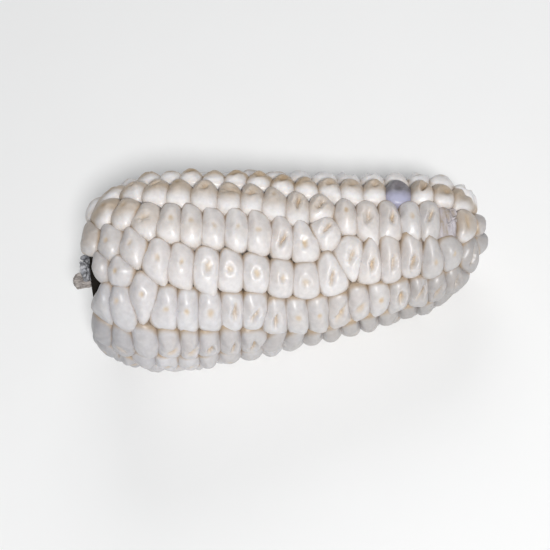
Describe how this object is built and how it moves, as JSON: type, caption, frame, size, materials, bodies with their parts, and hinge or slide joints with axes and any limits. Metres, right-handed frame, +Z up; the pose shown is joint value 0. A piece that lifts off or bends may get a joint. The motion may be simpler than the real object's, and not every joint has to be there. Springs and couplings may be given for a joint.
{
  "type": "corn cob",
  "caption": "Dry husked ear of white large-kernelled corn lying on its side, with one violet kernel and a broken shank at the butt.",
  "frame": {"origin": "centre of the ear's bounding box on the surface it lies on", "axes": "+X from the butt to the tip, +Y across the ear, +Z up"},
  "size_m": [0.1326, 0.0653, 0.0636],
  "materials": {
    "kernel_ivory": "pearly ivory white skin, tan in the dents and seams, satin gloss",
    "kernel_violet": "dusky violet blue skin, satin gloss",
    "glume_chaff": "thin papery chaff, greyish tan, matt",
    "cob_tan": "woody cob, tan, matt",
    "shank_grey": "weathered broken shank, grey brown, fibrous and matt",
    "husk_grey": "torn husk fibres, grey brown, matt"
  },
  "bodies": {
    "root": {"kernel_row_01": "kernel_ivory", "kernel_row_01_tip": "kernel_ivory", "kernel_row_02": "kernel_ivory", "kernel_row_02_tip": "kernel_ivory", "kernel_row_03": "kernel_ivory", "kernel_row_04": "kernel_ivory", "kernel_row_05": "kernel_ivory", "kernel_row_06": "kernel_ivory", "kernel_row_07": "kernel_ivory", "kernel_row_08": "kernel_ivory", "kernel_row_09": "kernel_ivory", "kernel_row_10": "kernel_ivory", "kernel_row_11": "kernel_ivory", "kernel_row_12": "kernel_ivory", "kernel_row_13": "kernel_ivory", "kernel_row_14": "kernel_ivory", "violet_kernel": "kernel_violet", "empty_socket": "glume_chaff", "cob": "cob_tan", "shank_stub": "shank_grey", "husk_scar": "husk_grey"}
  },
  "joints": []
}
